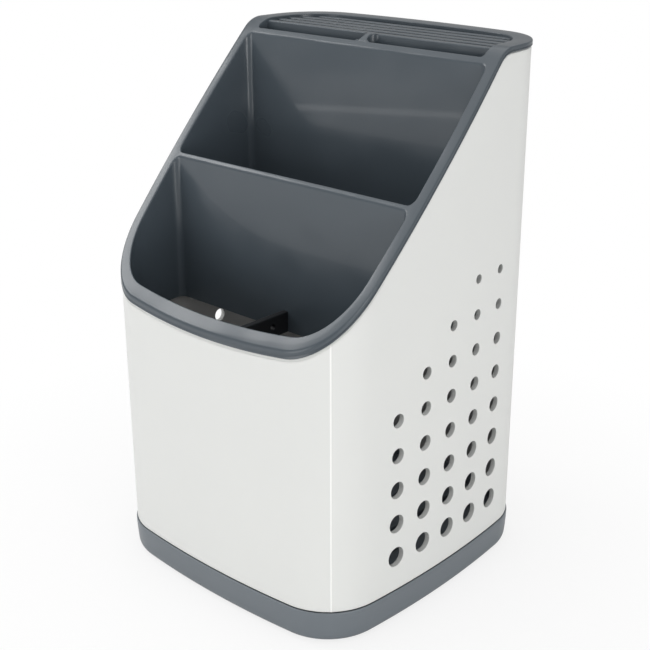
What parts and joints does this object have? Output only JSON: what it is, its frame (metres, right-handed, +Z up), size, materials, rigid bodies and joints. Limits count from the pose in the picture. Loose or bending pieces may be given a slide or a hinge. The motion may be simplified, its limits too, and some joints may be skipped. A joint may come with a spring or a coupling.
{
  "type": "kitchen utensil and knife holder",
  "caption": "Slant-topped upright holder: perforated shell on a drip tray, with a lift-out organiser of two open pockets and a slotted knife deck.",
  "frame": {"origin": "on the ground, under the middle of the holder", "axes": "+Z up; front, with the low side of the sloping top, towards -Y; +X to the right seen from the front"},
  "size_m": [0.1478, 0.1478, 0.2394],
  "materials": {
    "shell_plastic": "injection-moulded white polypropylene, fine satin texture",
    "organiser_plastic": "injection-moulded blue-grey ABS, polished",
    "tray_plastic": "injection-moulded mid-grey ABS, satin",
    "foot_rubber": "moulded rubber"
  },
  "bodies": {
    "base": {"base_tray": "tray_plastic", "foot_front_left": "foot_rubber", "foot_front_right": "foot_rubber", "foot_rear_left": "foot_rubber", "foot_rear_right": "foot_rubber"},
    "housing": {"shell": "shell_plastic"},
    "insert": {"organiser": "organiser_plastic"},
    "grid": {"drain_grid": "tray_plastic"}
  },
  "joints": [
    {"name": "shell_lift", "type": "slide", "parent": "base", "child": "housing", "axis": [0, 0, 1], "range_m": [0, 0.03]},
    {"name": "organiser_lift", "type": "slide", "parent": "housing", "child": "insert", "axis": [0, 0, 1], "range_m": [0, 0.13]},
    {"name": "grid_lift", "type": "slide", "parent": "base", "child": "grid", "axis": [0, 0, 1], "range_m": [0, 0.03]}
  ]
}
